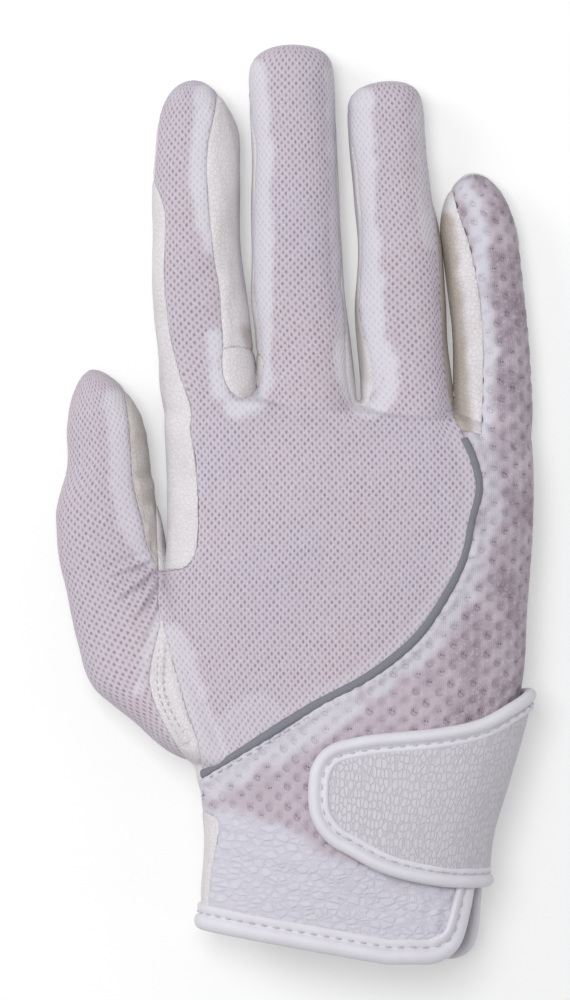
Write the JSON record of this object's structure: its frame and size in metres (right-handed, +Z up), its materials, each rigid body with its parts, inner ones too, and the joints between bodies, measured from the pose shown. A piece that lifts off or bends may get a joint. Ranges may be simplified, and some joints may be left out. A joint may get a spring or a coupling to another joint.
{
  "type": "horse riding glove",
  "caption": "Right-hand riding glove lying palm down: fine mesh back, dimpled mesh side, smooth leather palm and finger strips, grey piping and a pebbled wrist strap.",
  "frame": {"origin": "on the resting plane, under the centre of the glove's bounding box", "axes": "+Z up, out of the back of the hand; +Y towards the fingertips; -X towards the thumb"},
  "size_m": [0.1166, 0.2186, 0.035],
  "materials": {
    "mesh_fabric": "fine white mesh with a staggered pattern of small mauve holes",
    "spacer_mesh": "thick dimpled mesh, mauve showing through white",
    "white_leather": "smooth soft white leather",
    "grey_piping": "dark grey woven cord",
    "binding_tape": "white folded tape with running stitches",
    "strap_leather": "white pebbled leather"
  },
  "bodies": {
    "root": {"back_panel": "mesh_fabric", "thumb_back": "mesh_fabric", "side_panel": "spacer_mesh", "index_wrap": "white_leather", "fourchette_index_middle": "white_leather", "fourchette_middle_ring": "white_leather", "fourchette_ring_little": "white_leather", "gusset_index_middle": "white_leather", "thumb_palm": "white_leather", "palm_panel": "white_leather", "piping": "grey_piping", "cuff_binding": "binding_tape", "strap_binding": "binding_tape", "strap": "strap_leather"}
  },
  "joints": []
}
